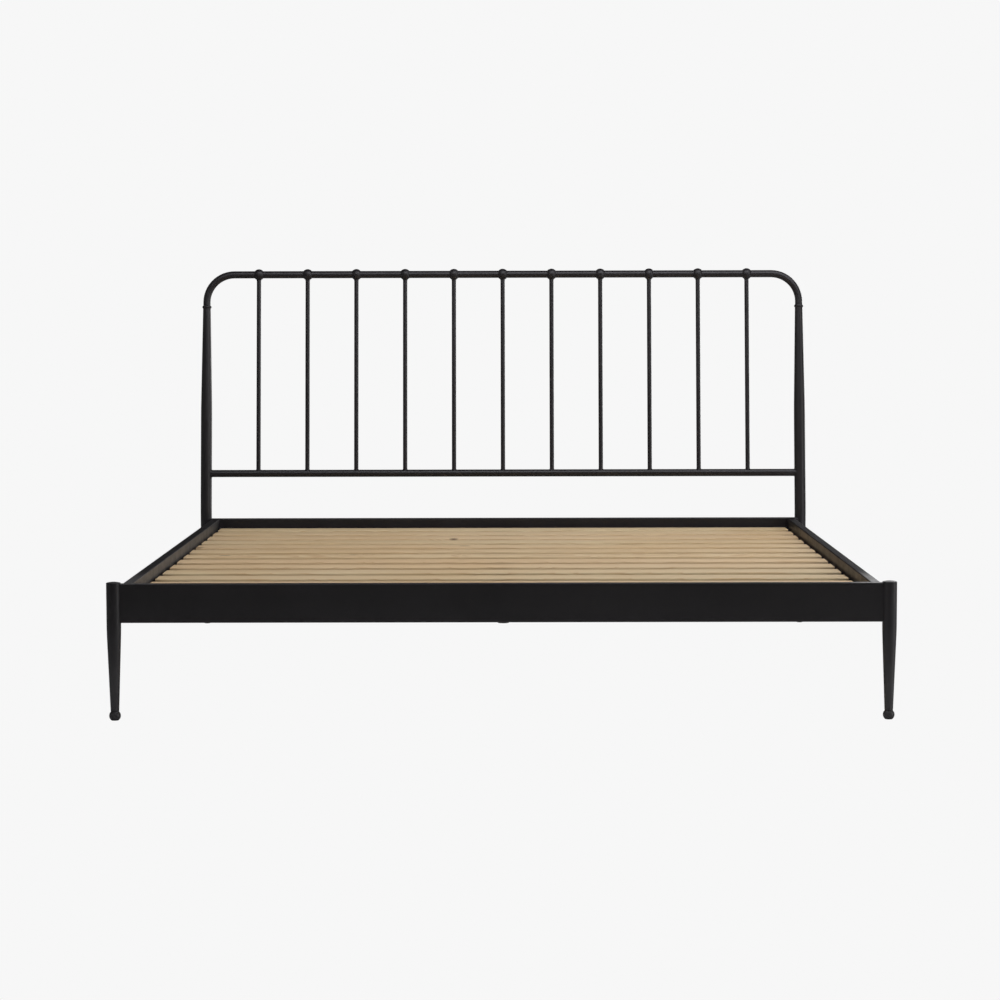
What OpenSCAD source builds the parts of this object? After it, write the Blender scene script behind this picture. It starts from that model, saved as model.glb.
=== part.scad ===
// Metal bed frame: low rail base on turned legs, with a spindle headboard that leans back.
// Every module is drawn in bed coordinates: X across the bed, Y from the foot end (0 at the
// front leg axes) to the head end, Z up from the floor. floor_origin() then moves it so that
// the origin is the middle of the whole frame's footprint.

/* [Base] */
// Distance between the axes of the left and right legs
leg_spacing = 1980; // [1400:10:2040]
// Distance from the front leg axes to the rear post axes at the floor
bed_length = 2070; // [1900:10:2150]
// Height of the top edge of the rails above the floor
rail_top = 351; // [340:1:365]
// Height of the rail section
rail_height = 100; // [90:1:104]
// Thickness of the rail section
rail_thick = 25; // [22:1:30]
// Distance from the front of the legs back to the face of the rail between them
rail_setback = 10; // [7:1:12]

/* [Legs] */
// Outer diameter of the leg and post tube
leg_d = 37; // [34:1:40]
// Diameter of the tapered leg where it meets its foot
leg_toe_d = 22; // [20:1:26]
// Height at which the taper of the lower leg starts
leg_taper_z = 230; // [150:5:235]
// Diameter of the ball foot
ball_foot_d = 30; // [28:1:34]

/* [Headboard] */
// Angle that the headboard leans back
lean = 7; // [2:0.5:12]
// Height at which the rear posts bend backwards
bend_z = 380; // [370:5:400]
// Height of the axis of the top tube
hoop_z = 1161.5; // [1050:0.5:1250]
// Outer diameter of the hoop tube
hoop_d = 24; // [22:1:26]
// Radius of the hoop's corners at the tube axis
hoop_corner_r = 92; // [70:1:150]
// Diameter of the post where it meets the hoop
post_tip_d = 25.5; // [25.5:0.5:30]
// Diameter of the spindles
spindle_d = 14.5; // [10:0.5:17]
// Number of spindles
spindle_count = 11; // [5:2:11]
// Distance between spindle axes
spindle_pitch = 163.2; // [120:0.2:166]
// Diameter of the round knuckles on the top tube
knuckle_d = 37; // [34:1:40]

/* [Slats] */
// Number of slats
slat_count = 13; // [9:1:13]
// Width of one slat
slat_w = 88; // [60:1:100]
// Thickness of one slat
slat_t = 18; // [15:1:20]
// Depth of the slat tops below the rail tops
slat_recess = 27.5; // [24:0.5:32]

/* [Hidden] */
// Tube walls and the gap left at every joint between two pieces
tube_wall = 1.5;
fit_gap = 0.05;
sheet = 3;

leg_r = leg_d / 2;
hoop_r = hoop_d / 2;
spindle_r = spindle_d / 2;
knuckle_r = knuckle_d / 2;
leg_x = leg_spacing / 2;

// Rails: the side rails stand inboard of the legs. rail_front is the foot rail's outer face,
// rail_face its inner one.
rail_bottom = rail_top - rail_height;
rail_corner_r = 3;
side_rail_gap = 3;
side_rail_out = leg_x - leg_r - side_rail_gap;
side_rail_in = side_rail_out - rail_thick;
rail_front = rail_setback - leg_r;
rail_face = rail_front + rail_thick;
rail_mid = rail_front + rail_thick / 2;

// Legs and their feet
leg_top = rail_top + 1;
toe_z = 26;
cap_rim = 1.5;
cap_dome = 2.8;
foot_flat_r = 9.2;
foot_neck_r = 9.2;

// Headboard: lengths along the leaning post, measured from the bend
hoop_s = (hoop_z - bend_z) / cos(lean);
collar_half = 4.8;
collar_r = 15.3;
collar_s = hoop_s - hoop_corner_r - 16.7;
post_tip_s = collar_s - collar_half;
post_taper_s = post_tip_s - 340;
hoop_socket = 45;
mitre_gap = 0.05; // the lower leg and the leaning tube are two tubes that meet in a mitre
crossbar_s = (500 - bend_z) / cos(lean);
cove_r = 3;
knuckle_neck_r = spindle_r + 0.6;
cove_z = -sqrt(pow(knuckle_r + cove_r, 2) - pow(knuckle_neck_r + cove_r, 2));

// Slat deck: slats lie in plastic cradles on two ledges and a centre beam
slat_top = rail_top - slat_recess;
slat_bottom = slat_top - slat_t;
cradle_wall = 2.5;
ledge_top = slat_bottom - cradle_wall;
ledge_leg = 35;
ledge_start = rail_face + 48;
slat_end_inset = 6.5;
slat_half = side_rail_in - sheet - slat_end_inset;
cradle_lip = 10;
cradle_grip = 24;
cradle_gap = 0.2;
peg_r = 4;
peg_length = 9;
slat_first_y = ledge_start + slat_w / 2 + 6;
slat_last_y = bed_length - slat_first_y;
slat_pitch = (slat_last_y - slat_first_y) / (slat_count - 1);

// Centre beam and its leg
beam_w = 40;
beam_h = 44;
beam_bottom = ledge_top - beam_h;
hanger_depth = 46;
centre_leg_d = 32;
centre_leg_y = bed_length - rail_mid;
pad_d = 38;
pad_h = 8;
hex_top = 15;
stem_r = 5;
stem_top = 72;
foot_travel = 12;
insert_flange = 3;
insert_z = hex_top + foot_travel + 0.5;

// Rail bolts (M8) and beam bolts (M6)
bolt_r = 4;
bolt_head_h = 5.3;
washer_h = 1.6;
washer_r = 8;
nut_h = 6.5;
nut_r = 7.5;
bracket_t = 4;
bracket_w = 40;
bracket_h = 66;
bracket_bottom = rail_bottom + 5;
bolt_zs = [bracket_bottom + 16, bracket_bottom + 50];
bolt_x = side_rail_in - bracket_t - 20;
beam_bolt_r = 3;
beam_bolt_z = beam_bottom + 24;
beam_bolt_y = rail_face + 28;

// The footprint's middle: front of the front legs to the back of the knuckles
back_y = bed_length + hoop_s * sin(lean) + knuckle_r;
middle_y = (back_y - leg_r) / 2;

black = [0.12, 0.12, 0.13];
zinc = [0.62, 0.63, 0.65];
plastic = [0.07, 0.07, 0.08];
pine = [0.86, 0.72, 0.52];

function two_digits(i) = i < 10 ? str("0", i) : str(i);

SPINDLES = [for (i = [1:spindle_count]) str("spindle_", two_digits(i))];
KNUCKLES = [for (i = [1:spindle_count]) str("ball_joint_", two_digits(i))];
SLATS = [for (i = [1:slat_count]) str("slat_", two_digits(i))];

// ---- Shared shapes ----

module floor_origin() {
    translate([0, -middle_y, 0]) children();
}

// The leaning part of the headboard: local Z runs up along the posts from the bend
module leaning() {
    floor_origin() translate([0, bed_length, bend_z]) rotate([-lean, 0, 0]) children();
}

// Rectangle with round corners, centred
module soft_rect(w, h, r) {
    square([w - 2 * r, h], center = true);
    square([w, h - 2 * r], center = true);
    for (x = [-1, 1], y = [-1, 1])
        translate([x * (w / 2 - r), y * (h / 2 - r)]) circle(r = r, $fn = 32);
}

// Hollow rectangular tube along Z, centred on its axis
module rect_tube(w, h, length, r) {
    linear_extrude(length) difference() {
        soft_rect(w, h, r);
        soft_rect(w - 2 * tube_wall, h - 2 * tube_wall, r - tube_wall);
    }
}

// Turns a tube drawn along Z with its width in X and height in Y to lie along +X or +Y
module along_x() {
    rotate([90, 0, 90]) children();
}
module along_y() {
    rotate([90, 0, 0]) mirror([0, 0, 1]) children();
}

module at_front_and_rear() {
    children();
    translate([0, bed_length, 0]) mirror([0, 1, 0]) children();
}

module at_left_and_right() {
    children();
    mirror([1, 0, 0]) children();
}

module hex_prism(r, h) {
    cylinder(r = r, h = h, $fn = 6);
}

// ---- Rails ----

// Rail between two round legs: its ends are cut to their curve
module leg_to_leg_rail() {
    difference() {
        translate([-leg_x, rail_mid, (rail_top + rail_bottom) / 2])
            along_x() rect_tube(rail_thick, rail_height, leg_spacing, rail_corner_r);
        for (side = [-1, 1])
            translate([side * leg_x, 0, rail_bottom - 1])
                cylinder(r = leg_r + fit_gap, h = rail_height + 2, $fn = 96);
        at_left_and_right() rail_bolt_holes();
    }
}

// Holes for the corner bolts, through the wall that faces the slats
module rail_bolt_holes() {
    for (z = bolt_zs)
        translate([bolt_x, 0, z]) rotate([-90, 0, 0]) cylinder(r = bolt_r + 0.25, h = rail_thick, $fn = 32);
}

module foot_rail() {
    color(black) floor_origin() leg_to_leg_rail();
}

module rear_rail() {
    color(black) floor_origin() translate([0, bed_length, 0]) mirror([0, 1, 0]) leg_to_leg_rail();
}

module side_rail() {
    translate([side_rail_in + rail_thick / 2, rail_face, (rail_top + rail_bottom) / 2])
        along_y() rect_tube(rail_thick, rail_height, bed_length - 2 * rail_face, rail_corner_r);
}

module side_rail_left() {
    color(black) floor_origin() mirror([1, 0, 0]) side_rail();
}

module side_rail_right() {
    color(black) floor_origin() side_rail();
}

// ---- Front legs ----

// Outline of the lower leg: taper, then straight. grow < 0 gives the inside of the tube.
module lower_leg(grow, top) {
    translate([0, 0, toe_z])
        cylinder(r1 = leg_toe_d / 2 + grow, r2 = leg_r + grow, h = leg_taper_z - toe_z, $fn = 96);
    translate([0, 0, leg_taper_z]) cylinder(r = leg_r + grow, h = top - leg_taper_z, $fn = 96);
}

module foot_leg() {
    difference() {
        lower_leg(0, leg_top);
        lower_leg(-tube_wall, leg_top + 1);
    }
}

module foot_leg_left() {
    color(black) floor_origin() translate([-leg_x, 0, 0]) foot_leg();
}

module foot_leg_right() {
    color(black) floor_origin() translate([leg_x, 0, 0]) foot_leg();
}

// Low domed cap with a plug that fits inside the leg tube
module leg_cap() {
    dome_r = (leg_r * leg_r + cap_dome * cap_dome) / (2 * cap_dome);
    translate([0, 0, leg_top]) {
        cylinder(r = leg_r, h = cap_rim, $fn = 96);
        translate([0, 0, -8]) cylinder(r = leg_r - tube_wall - 0.1, h = 8, $fn = 64);
        translate([0, 0, cap_rim]) intersection() {
            translate([0, 0, cap_dome - dome_r]) sphere(r = dome_r, $fn = 96);
            cylinder(r = leg_r, h = cap_dome + 1, $fn = 96);
        }
    }
}

module leg_cap_left() {
    color(black) floor_origin() translate([-leg_x, 0, 0]) leg_cap();
}

module leg_cap_right() {
    color(black) floor_origin() translate([leg_x, 0, 0]) leg_cap();
}

// Turned foot: ball with a flat underside, narrow neck, shoulder and a plug inside the leg
module ball_foot() {
    ball_r = ball_foot_d / 2;
    ball_z = sqrt(ball_r * ball_r - foot_flat_r * foot_flat_r);
    shoulder_h = 2;
    intersection() {
        translate([0, 0, ball_z]) sphere(r = ball_r, $fn = 64);
        cylinder(r = ball_r + 1, h = 2 * ball_r, $fn = 64);
    }
    translate([0, 0, ball_z]) cylinder(r = foot_neck_r, h = toe_z - ball_z, $fn = 64);
    translate([0, 0, toe_z - shoulder_h]) cylinder(r = leg_toe_d / 2, h = shoulder_h, $fn = 64);
    translate([0, 0, toe_z - 1]) cylinder(r = leg_toe_d / 2 - tube_wall - 0.1, h = 13, $fn = 64);
}

module ball_feet() {
    color(black) floor_origin() at_front_and_rear() at_left_and_right()
        translate([leg_x, 0, 0]) ball_foot();
}

// ---- Headboard ----

// Keeps the part of its child below (side = -1) or above (side = 1) the mitre plane of the bend
module mitred(side) {
    size = 2 * hoop_z;
    intersection() {
        children();
        translate([0, 0, bend_z]) rotate([-lean / 2, 0, 0])
            translate([-size / 2, -size / 2, side < 0 ? -size - mitre_gap / 2 : mitre_gap / 2]) cube(size);
    }
}

// Outline of a rear post: lower leg, mitred bend, leaning tube and the taper up to the collar
module rear_post_outline(grow, tip_r) {
    mitred(-1) lower_leg(grow, bend_z + leg_r);
    mitred(1) translate([0, 0, bend_z]) rotate([-lean, 0, 0])
        translate([0, 0, -leg_r]) cylinder(r = leg_r + grow, h = post_taper_s + leg_r, $fn = 96);
    translate([0, 0, bend_z]) rotate([-lean, 0, 0]) translate([0, 0, post_taper_s])
        cylinder(r1 = leg_r + grow, r2 = tip_r, h = post_tip_s - post_taper_s, $fn = 96);
}

// The bore narrows to the hoop's diameter at the tip, and the hoop's end stands in it
module rear_post() {
    difference() {
        rear_post_outline(0, post_tip_d / 2);
        rear_post_outline(-tube_wall, hoop_r + fit_gap);
    }
}

module headboard_post_left() {
    color(black) floor_origin() translate([-leg_x, bed_length, 0]) rear_post();
}

module headboard_post_right() {
    color(black) floor_origin() translate([leg_x, bed_length, 0]) rear_post();
}

// Round bead that covers the joint between post and hoop
module post_collar() {
    bead_r = 5.5;
    rotate_extrude($fn = 96) intersection() {
        translate([collar_r - bead_r, 0]) circle(r = bead_r, $fn = 64);
        translate([hoop_r + fit_gap, -collar_half]) square([bead_r, 2 * collar_half]);
    }
}

module post_collars() {
    color(black) leaning() at_left_and_right() translate([leg_x, 0, collar_s]) post_collar();
}

// The hoop's whole run at radius r: two uprights, two corners and the top tube
module hoop_run(r, extra) {
    foot_s = post_tip_s - hoop_socket + 1;
    corner_s = hoop_s - hoop_corner_r;
    at_left_and_right() {
        translate([leg_x, 0, foot_s - extra]) cylinder(r = r, h = corner_s - foot_s + extra, $fn = 64);
        translate([leg_x - hoop_corner_r, 0, corner_s]) rotate([90, 0, 0])
            rotate_extrude(angle = 90, $fn = 96) translate([hoop_corner_r, 0]) circle(r = r, $fn = 64);
    }
    translate([-(leg_x - hoop_corner_r), 0, hoop_s]) rotate([0, 90, 0])
        cylinder(r = r, h = 2 * (leg_x - hoop_corner_r), $fn = 64);
}

module headboard_hoop() {
    color(black) leaning() difference() {
        hoop_run(hoop_r, 0);
        hoop_run(hoop_r - tube_wall, 1);
    }
}

// Plain tube low down between the posts, behind the mattress, which the spindles stand on
module headboard_crossbar() {
    color(black) leaning() difference() {
        translate([-leg_x, 0, crossbar_s]) rotate([0, 90, 0]) difference() {
            cylinder(r = hoop_r, h = leg_spacing, $fn = 64);
            translate([0, 0, -1]) cylinder(r = hoop_r - tube_wall, h = leg_spacing + 2, $fn = 64);
        }
        for (side = [-1, 1])
            translate([side * leg_x, 0, crossbar_s - 2 * hoop_r])
                cylinder(r = leg_r + fit_gap, h = 4 * hoop_r, $fn = 96);
    }
}

function spindle_x(i) = (i - (spindle_count + 1) / 2) * spindle_pitch;

// Tube from the crossbar to the hoop, both ends cut to the tubes that they are welded to
module spindle(i) {
    color(black) leaning() translate([spindle_x(i), 0, 0]) difference() {
        translate([0, 0, crossbar_s]) cylinder(r = spindle_r, h = hoop_s - crossbar_s, $fn = 48);
        translate([0, 0, crossbar_s - 1])
            cylinder(r = spindle_r - tube_wall, h = hoop_s - crossbar_s + 2, $fn = 48);
        for (s = [crossbar_s, hoop_s])
            translate([-knuckle_r, 0, s]) rotate([0, 90, 0])
                cylinder(r = hoop_r + fit_gap, h = 2 * knuckle_r, $fn = 64);
    }
}

// Half outline of a knuckle: ball, small hollow curve under it and a short neck round the spindle
module knuckle_outline() {
    meet = knuckle_r / (knuckle_r + cove_r);
    intersection() {
        circle(r = knuckle_r, $fn = 96);
        translate([0, -knuckle_r]) square([knuckle_r, 2 * knuckle_r]);
    }
    difference() {
        translate([0, cove_z]) square([(knuckle_neck_r + cove_r) * meet, -cove_z * (1 - meet) + 0.01]);
        translate([knuckle_neck_r + cove_r, cove_z]) circle(r = cove_r, $fn = 64);
    }
    translate([0, cove_z - 1]) square([knuckle_neck_r, 1.01]);
}

// Cast knuckle threaded on the hoop, with the spindle's end in its neck
module ball_joint(i) {
    color(black) leaning() translate([spindle_x(i), 0, hoop_s]) difference() {
        rotate_extrude($fn = 96) knuckle_outline();
        translate([-knuckle_r - 1, 0, 0]) rotate([0, 90, 0])
            cylinder(r = hoop_r + fit_gap, h = 2 * knuckle_r + 2, $fn = 64);
        translate([0, 0, -3 * knuckle_r]) cylinder(r = spindle_r + fit_gap, h = 3 * knuckle_r, $fn = 48);
    }
}

// ---- Slat deck ----

function slat_y(i) = slat_first_y + (i - 1) * slat_pitch;

// Steel angle inside each side rail, with one hole for every cradle's peg
module slat_ledge() {
    difference() {
        translate([0, ledge_start, ledge_top]) along_y() linear_extrude(bed_length - 2 * ledge_start)
            polygon([
                [side_rail_in, 0], [side_rail_in - ledge_leg, 0], [side_rail_in - ledge_leg, -sheet],
                [side_rail_in - sheet, -sheet], [side_rail_in - sheet, -ledge_leg], [side_rail_in, -ledge_leg]
            ]);
        for (i = [1:slat_count])
            translate([slat_half - cradle_grip / 2, slat_y(i), ledge_top - 2 * sheet])
                cylinder(r = peg_r + 0.1, h = 3 * sheet, $fn = 32);
    }
}

module slat_ledge_left() {
    color(black) floor_origin() mirror([1, 0, 0]) slat_ledge();
}

module slat_ledge_right() {
    color(black) floor_origin() slat_ledge();
}

// Solid pine board across the whole bed, with softened long edges
module slat(i) {
    color(pine) floor_origin() translate([-slat_half, slat_y(i), slat_bottom + slat_t / 2])
        along_x() linear_extrude(2 * slat_half) soft_rect(slat_w, slat_t, 3);
}

// Plastic cradle: base plate with a peg, two side lips and, at a slat's end, an end wall
module cradle(length, end_wall) {
    clear = slat_w / 2 + cradle_gap;
    translate([-length / 2, -clear - cradle_wall, -cradle_wall])
        cube([length + end_wall, 2 * (clear + cradle_wall), cradle_wall]);
    for (side = [-1, 1])
        translate([-length / 2, side > 0 ? clear : -clear - cradle_wall, -0.01])
            cube([length + end_wall, cradle_wall, cradle_lip]);
    if (end_wall > 0)
        translate([length / 2 + cradle_gap, -clear - 0.01, -0.01])
            cube([end_wall - cradle_gap, 2 * clear + 0.02, cradle_lip]);
    translate([0, 0, -cradle_wall - peg_length]) cylinder(r = peg_r, h = peg_length + 0.01, $fn = 32);
}

module slat_cradles() {
    color(plastic) floor_origin() for (i = [1:slat_count]) translate([0, slat_y(i), slat_bottom]) {
        cradle(beam_w, 0);
        at_left_and_right() translate([slat_half - cradle_grip / 2, 0, 0]) cradle(cradle_grip, cradle_wall);
    }
}

// ---- Centre support ----

module centre_beam() {
    beam_start = rail_face + sheet + 0.5;
    color(black) floor_origin() difference() {
        translate([0, beam_start, beam_bottom + beam_h / 2])
            along_y() rect_tube(beam_w, beam_h, bed_length - 2 * beam_start, rail_corner_r);
        for (i = [1:slat_count])
            translate([0, slat_y(i), ledge_top - peg_length]) cylinder(r = peg_r + 0.1, h = 2 * peg_length, $fn = 32);
        for (y = [beam_bolt_y, bed_length - beam_bolt_y])
            translate([-beam_w, y, beam_bolt_z]) rotate([0, 90, 0])
                cylinder(r = beam_bolt_r + 0.25, h = 2 * beam_w, $fn = 32);
    }
}

// U-shaped steel shoe welded to the rail: the beam drops in and is bolted through
module beam_hanger() {
    hanger_w = beam_w + 2 * sheet + 0.4;
    translate([0, rail_face, beam_bottom - sheet]) difference() {
        translate([-hanger_w / 2, 0, 0]) cube([hanger_w, hanger_depth, beam_h - 3]);
        translate([-beam_w / 2 - 0.2, sheet, sheet]) cube([beam_w + 0.4, hanger_depth, beam_h]);
        translate([-beam_w, beam_bolt_y - rail_face, beam_bolt_z - beam_bottom + sheet])
            rotate([0, 90, 0]) cylinder(r = beam_bolt_r + 0.25, h = 2 * beam_w, $fn = 32);
    }
}

module beam_hangers() {
    color(black) floor_origin() at_front_and_rear() beam_hanger();
}

// Round leg under the middle of the rear rail, with a threaded plastic insert in its end
module centre_leg() {
    tube_start = insert_z + insert_flange;
    color(black) floor_origin() translate([0, centre_leg_y, 0]) difference() {
        union() {
            translate([0, 0, insert_z]) cylinder(r = centre_leg_d / 2, h = insert_flange, $fn = 64);
            translate([0, 0, tube_start]) cylinder(r = centre_leg_d / 2, h = rail_bottom - tube_start, $fn = 64);
        }
        translate([0, 0, tube_start + 22])
            cylinder(r = centre_leg_d / 2 - tube_wall, h = rail_bottom - tube_start - 22 - sheet, $fn = 64);
        translate([0, 0, insert_z - 1]) cylinder(r = stem_r + fit_gap, h = 40, $fn = 48);
    }
}

// Adjustable foot: wide pad, hexagon for the spanner and a threaded stem.
// It stands on the floor as drawn and screws up into the insert by foot_travel.
module levelling_foot() {
    pad_edge = 2;
    color(plastic) floor_origin() translate([0, centre_leg_y, 0]) {
        cylinder(r = pad_d / 2, h = pad_h - pad_edge, $fn = 64);
        translate([0, 0, pad_h - pad_edge])
            cylinder(r1 = pad_d / 2, r2 = pad_d / 2 - 2 * pad_edge, h = pad_edge, $fn = 64);
        translate([0, 0, pad_h - 0.01]) hex_prism(10, hex_top - pad_h + 0.01);
        translate([0, 0, hex_top - 0.01]) cylinder(r = stem_r, h = stem_top - hex_top + 0.01, $fn = 48);
    }
}

// ---- Corner joints ----

// Steel angle welded to the side rail's inner face and bolted to the foot or rear rail
module corner_bracket() {
    translate([0, rail_face, bracket_bottom]) difference() {
        union() {
            translate([side_rail_in - bracket_t, 0, 0]) cube([bracket_t, 44, bracket_h]);
            translate([side_rail_in - bracket_w, 0, 0]) cube([bracket_w, bracket_t, bracket_h]);
        }
        for (z = bolt_zs)
            translate([bolt_x, -1, z - bracket_bottom]) rotate([-90, 0, 0])
                cylinder(r = bolt_r + 0.25, h = bracket_t + 2, $fn = 32);
    }
}

module corner_brackets() {
    color(black) floor_origin() at_front_and_rear() at_left_and_right() corner_bracket();
}

// Places its children at every corner bolt, with +Z pointing from the rail into the bed
module at_corner_bolts() {
    floor_origin() at_front_and_rear() at_left_and_right()
        for (z = bolt_zs) translate([bolt_x, rail_face, z]) rotate([-90, 0, 0]) children();
}

// Places its children at the two beam bolts, with +Z along the bolt towards its nut
module at_beam_bolts() {
    floor_origin() at_front_and_rear() translate([0, beam_bolt_y, beam_bolt_z]) rotate([0, 90, 0]) children();
}

module frame_bolts() {
    shank = 20;
    head_z = bracket_t + washer_h;
    beam_half = beam_w / 2 + sheet + 0.2;
    color(zinc) {
        at_corner_bolts() {
            translate([0, 0, head_z]) hex_prism(nut_r, bolt_head_h);
            translate([0, 0, head_z - shank]) cylinder(r = bolt_r, h = shank + 0.01, $fn = 48);
        }
        at_beam_bolts() {
            translate([0, 0, -beam_half - 4]) hex_prism(5.8, 4);
            translate([0, 0, -beam_half - 0.01]) cylinder(r = beam_bolt_r, h = 2 * beam_half + 7, $fn = 48);
        }
    }
}

module frame_washers() {
    color(zinc) at_corner_bolts() translate([0, 0, bracket_t]) difference() {
        cylinder(r = washer_r, h = washer_h, $fn = 48);
        translate([0, 0, -1]) cylinder(r = bolt_r + 0.2, h = washer_h + 2, $fn = 48);
    }
}

module frame_nuts() {
    beam_half = beam_w / 2 + sheet + 0.2;
    color(zinc) {
        at_corner_bolts() translate([0, 0, -tube_wall - nut_h]) difference() {
            hex_prism(nut_r, nut_h);
            translate([0, 0, -1]) cylinder(r = bolt_r + fit_gap, h = nut_h + 2, $fn = 48);
        }
        at_beam_bolts() translate([0, 0, beam_half]) difference() {
            hex_prism(5.8, 5);
            translate([0, 0, -1]) cylinder(r = beam_bolt_r + fit_gap, h = 7, $fn = 48);
        }
    }
}

// ---- Nodes ----

foot_rail();
foot_leg_left();
foot_leg_right();
leg_cap_left();
leg_cap_right();
ball_feet();
rear_rail();
headboard_post_left();
headboard_post_right();
post_collars();
headboard_hoop();
headboard_crossbar();
side_rail_left();
side_rail_right();
slat_ledge_left();
slat_ledge_right();
centre_beam();
beam_hangers();
centre_leg();
levelling_foot();
corner_brackets();
frame_bolts();
frame_washers();
frame_nuts();
for (i = [1:spindle_count]) spindle(i);
for (i = [1:spindle_count]) ball_joint(i);
for (i = [1:slat_count]) slat(i);
slat_cradles();
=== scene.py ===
"""Looks for a black metal bed frame: its materials, its finer pieces, the studio and the camera.

Every length is in metres, in the frame's own axes: +X right, +Y to the head end, +Z up.
"""

import math
import random

import bmesh
import bpy
from mathutils import Matrix, Vector


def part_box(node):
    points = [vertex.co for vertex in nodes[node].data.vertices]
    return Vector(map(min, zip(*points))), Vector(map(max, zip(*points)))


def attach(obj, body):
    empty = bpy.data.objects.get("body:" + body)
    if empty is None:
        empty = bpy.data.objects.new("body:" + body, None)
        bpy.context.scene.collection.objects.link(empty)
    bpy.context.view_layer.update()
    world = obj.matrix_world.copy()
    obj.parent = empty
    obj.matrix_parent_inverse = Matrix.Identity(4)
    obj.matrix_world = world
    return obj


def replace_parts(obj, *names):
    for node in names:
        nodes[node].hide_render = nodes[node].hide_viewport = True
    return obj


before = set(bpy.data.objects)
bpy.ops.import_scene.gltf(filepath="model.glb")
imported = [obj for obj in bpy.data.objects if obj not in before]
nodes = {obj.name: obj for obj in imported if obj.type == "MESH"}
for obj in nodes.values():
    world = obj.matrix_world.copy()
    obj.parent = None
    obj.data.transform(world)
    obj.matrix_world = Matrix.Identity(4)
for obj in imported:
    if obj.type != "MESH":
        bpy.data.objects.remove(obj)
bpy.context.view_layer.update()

FRAME_BODY = "frame"
FOOT_BODY = "levelling_foot"
SIDES = {"left": -1, "right": 1}

# ---- Places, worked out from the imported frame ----

LEAN = math.radians(7)
BEND_Z = 0.380
BEND_RADIUS = 0.25
TAPER_TOP_Z = 0.230
TUBE_WALL = 0.0015
POST_TIP_R = 0.01275
POST_TAPER_LENGTH = 0.340
HOOP_R = 0.012
SOCKET_DEPTH = 0.044
TOE_R = 0.011

# Threads, as (radius, pitch), and the bores of the nuts and washers that go over them
M8_THREAD = (0.004, 0.00125)
M6_THREAD = (0.003, 0.001)
FOOT_THREAD = (0.005, 0.0015)
M8_NUT_BORE = 0.00405
M6_NUT_BORE = 0.00305
WASHER_BORE = 0.0042
# Hexagons: the radius at their corners, and the height of a bolt's head
M8_HEX_R, M8_HEAD = 0.0075, 0.0053
M6_HEX_R, M6_HEAD = 0.0058, 0.004
FOOT_HEX_R = 0.010
FOOT_HEX_TOP = 0.015
FOOT_PAD_TOP = 0.008
SPINDLE_BEAD_R = 0.0014
RAIL_BEAD_R = 0.0017

SHARP_ANGLE = math.radians(35)
MERGE_DISTANCE = 1e-6

leg_low, leg_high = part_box("foot_leg_right")
post_low, post_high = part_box("headboard_post_right")
LEG_X = (leg_low.x + leg_high.x) / 2
LEG_R = (leg_high.x - leg_low.x) / 2
FRONT_Y = (leg_low.y + leg_high.y) / 2
REAR_Y = post_low.y + LEG_R
TOE_Z = leg_low.z
TOE_END = TOE_Z + 0.01  # the first ring of a leg above its toe's chamfer
LEG_TOP = leg_high.z
tip_z = post_high.z - POST_TIP_R * math.sin(LEAN)
# Length of the leaning part, from the bend to the collar
TIP_S = (tip_z - BEND_Z) / math.cos(LEAN)
# Length of post that its round bend takes on each side of the corner of its axis
BEND_TANGENT = BEND_RADIUS * math.tan(LEAN / 2)

# The number in the name of each slat's node, as text
slat_numbers = {name: name[5:] for name in nodes if name.startswith("slat_") and name[5:].isdigit()}

# ---- Mesh helpers ----


def new_piece(name, mesh, body, material):
    """Links a mesh as a smooth-shaded piece that rides on a body."""
    mesh.name = name
    mesh.shade_smooth()
    mesh.set_sharp_from_angle(angle=SHARP_ANGLE)
    piece = bpy.data.objects.new(name, mesh)
    bpy.context.scene.collection.objects.link(piece)
    mesh.materials.append(material)
    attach(piece, body)
    return piece


def mesh_from(build):
    """Runs build(bm) on an empty bmesh and returns the cleaned mesh."""
    bm = bmesh.new()
    build(bm)
    bmesh.ops.remove_doubles(bm, verts=bm.verts, dist=MERGE_DISTANCE)
    bmesh.ops.recalc_face_normals(bm, faces=bm.faces)
    mesh = bpy.data.meshes.new("mesh")
    bm.to_mesh(mesh)
    bm.free()
    return mesh


def ring_points(place, radius, segments, height=0.0):
    """Points of a circle about a place's own Z; a radius of zero gives its centre alone."""
    if radius == 0:
        return [place @ Vector((0, 0, height))]
    angles = (2 * math.pi * i / segments for i in range(segments))
    return [place @ Vector((radius * math.cos(a), radius * math.sin(a), height)) for a in angles]


def skin_rings(bm, rings, closed=False):
    """Joins rings of points with quads; a ring of one point is a pole."""
    made = [[bm.verts.new(p) for p in ring] for ring in rings]
    pairs = list(zip(made, made[1:]))
    if closed:
        pairs.append((made[-1], made[0]))
    for lower, upper in pairs:
        count = max(len(lower), len(upper))
        for i in range(count):
            j = (i + 1) % count
            if len(lower) == 1:
                corners = (lower[0], upper[j], upper[i])
            elif len(upper) == 1:
                corners = (lower[i], lower[j], upper[0])
            else:
                corners = (lower[i], lower[j], upper[j], upper[i])
            bm.faces.new(corners)


def lathe(bm, profile, place, segments=64):
    """Turns (radius, height) points about a place's Z; a radius of zero closes the shape."""
    skin_rings(bm, [ring_points(place, radius, segments, height) for radius, height in profile])


def steps(start, end, count):
    """Even steps from start to end, both included."""
    return [start + (end - start) * i / count for i in range(count + 1)]


# ---- Turned legs and bent posts ----


def tapered(past, slope, ease):
    """Radius of a tube at a length past the start of its taper, with that corner eased both ways."""
    if past >= ease:
        return LEG_R - slope * past
    if past <= -ease:
        return LEG_R
    return LEG_R - slope * (past + ease) ** 2 / (4 * ease)


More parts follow.
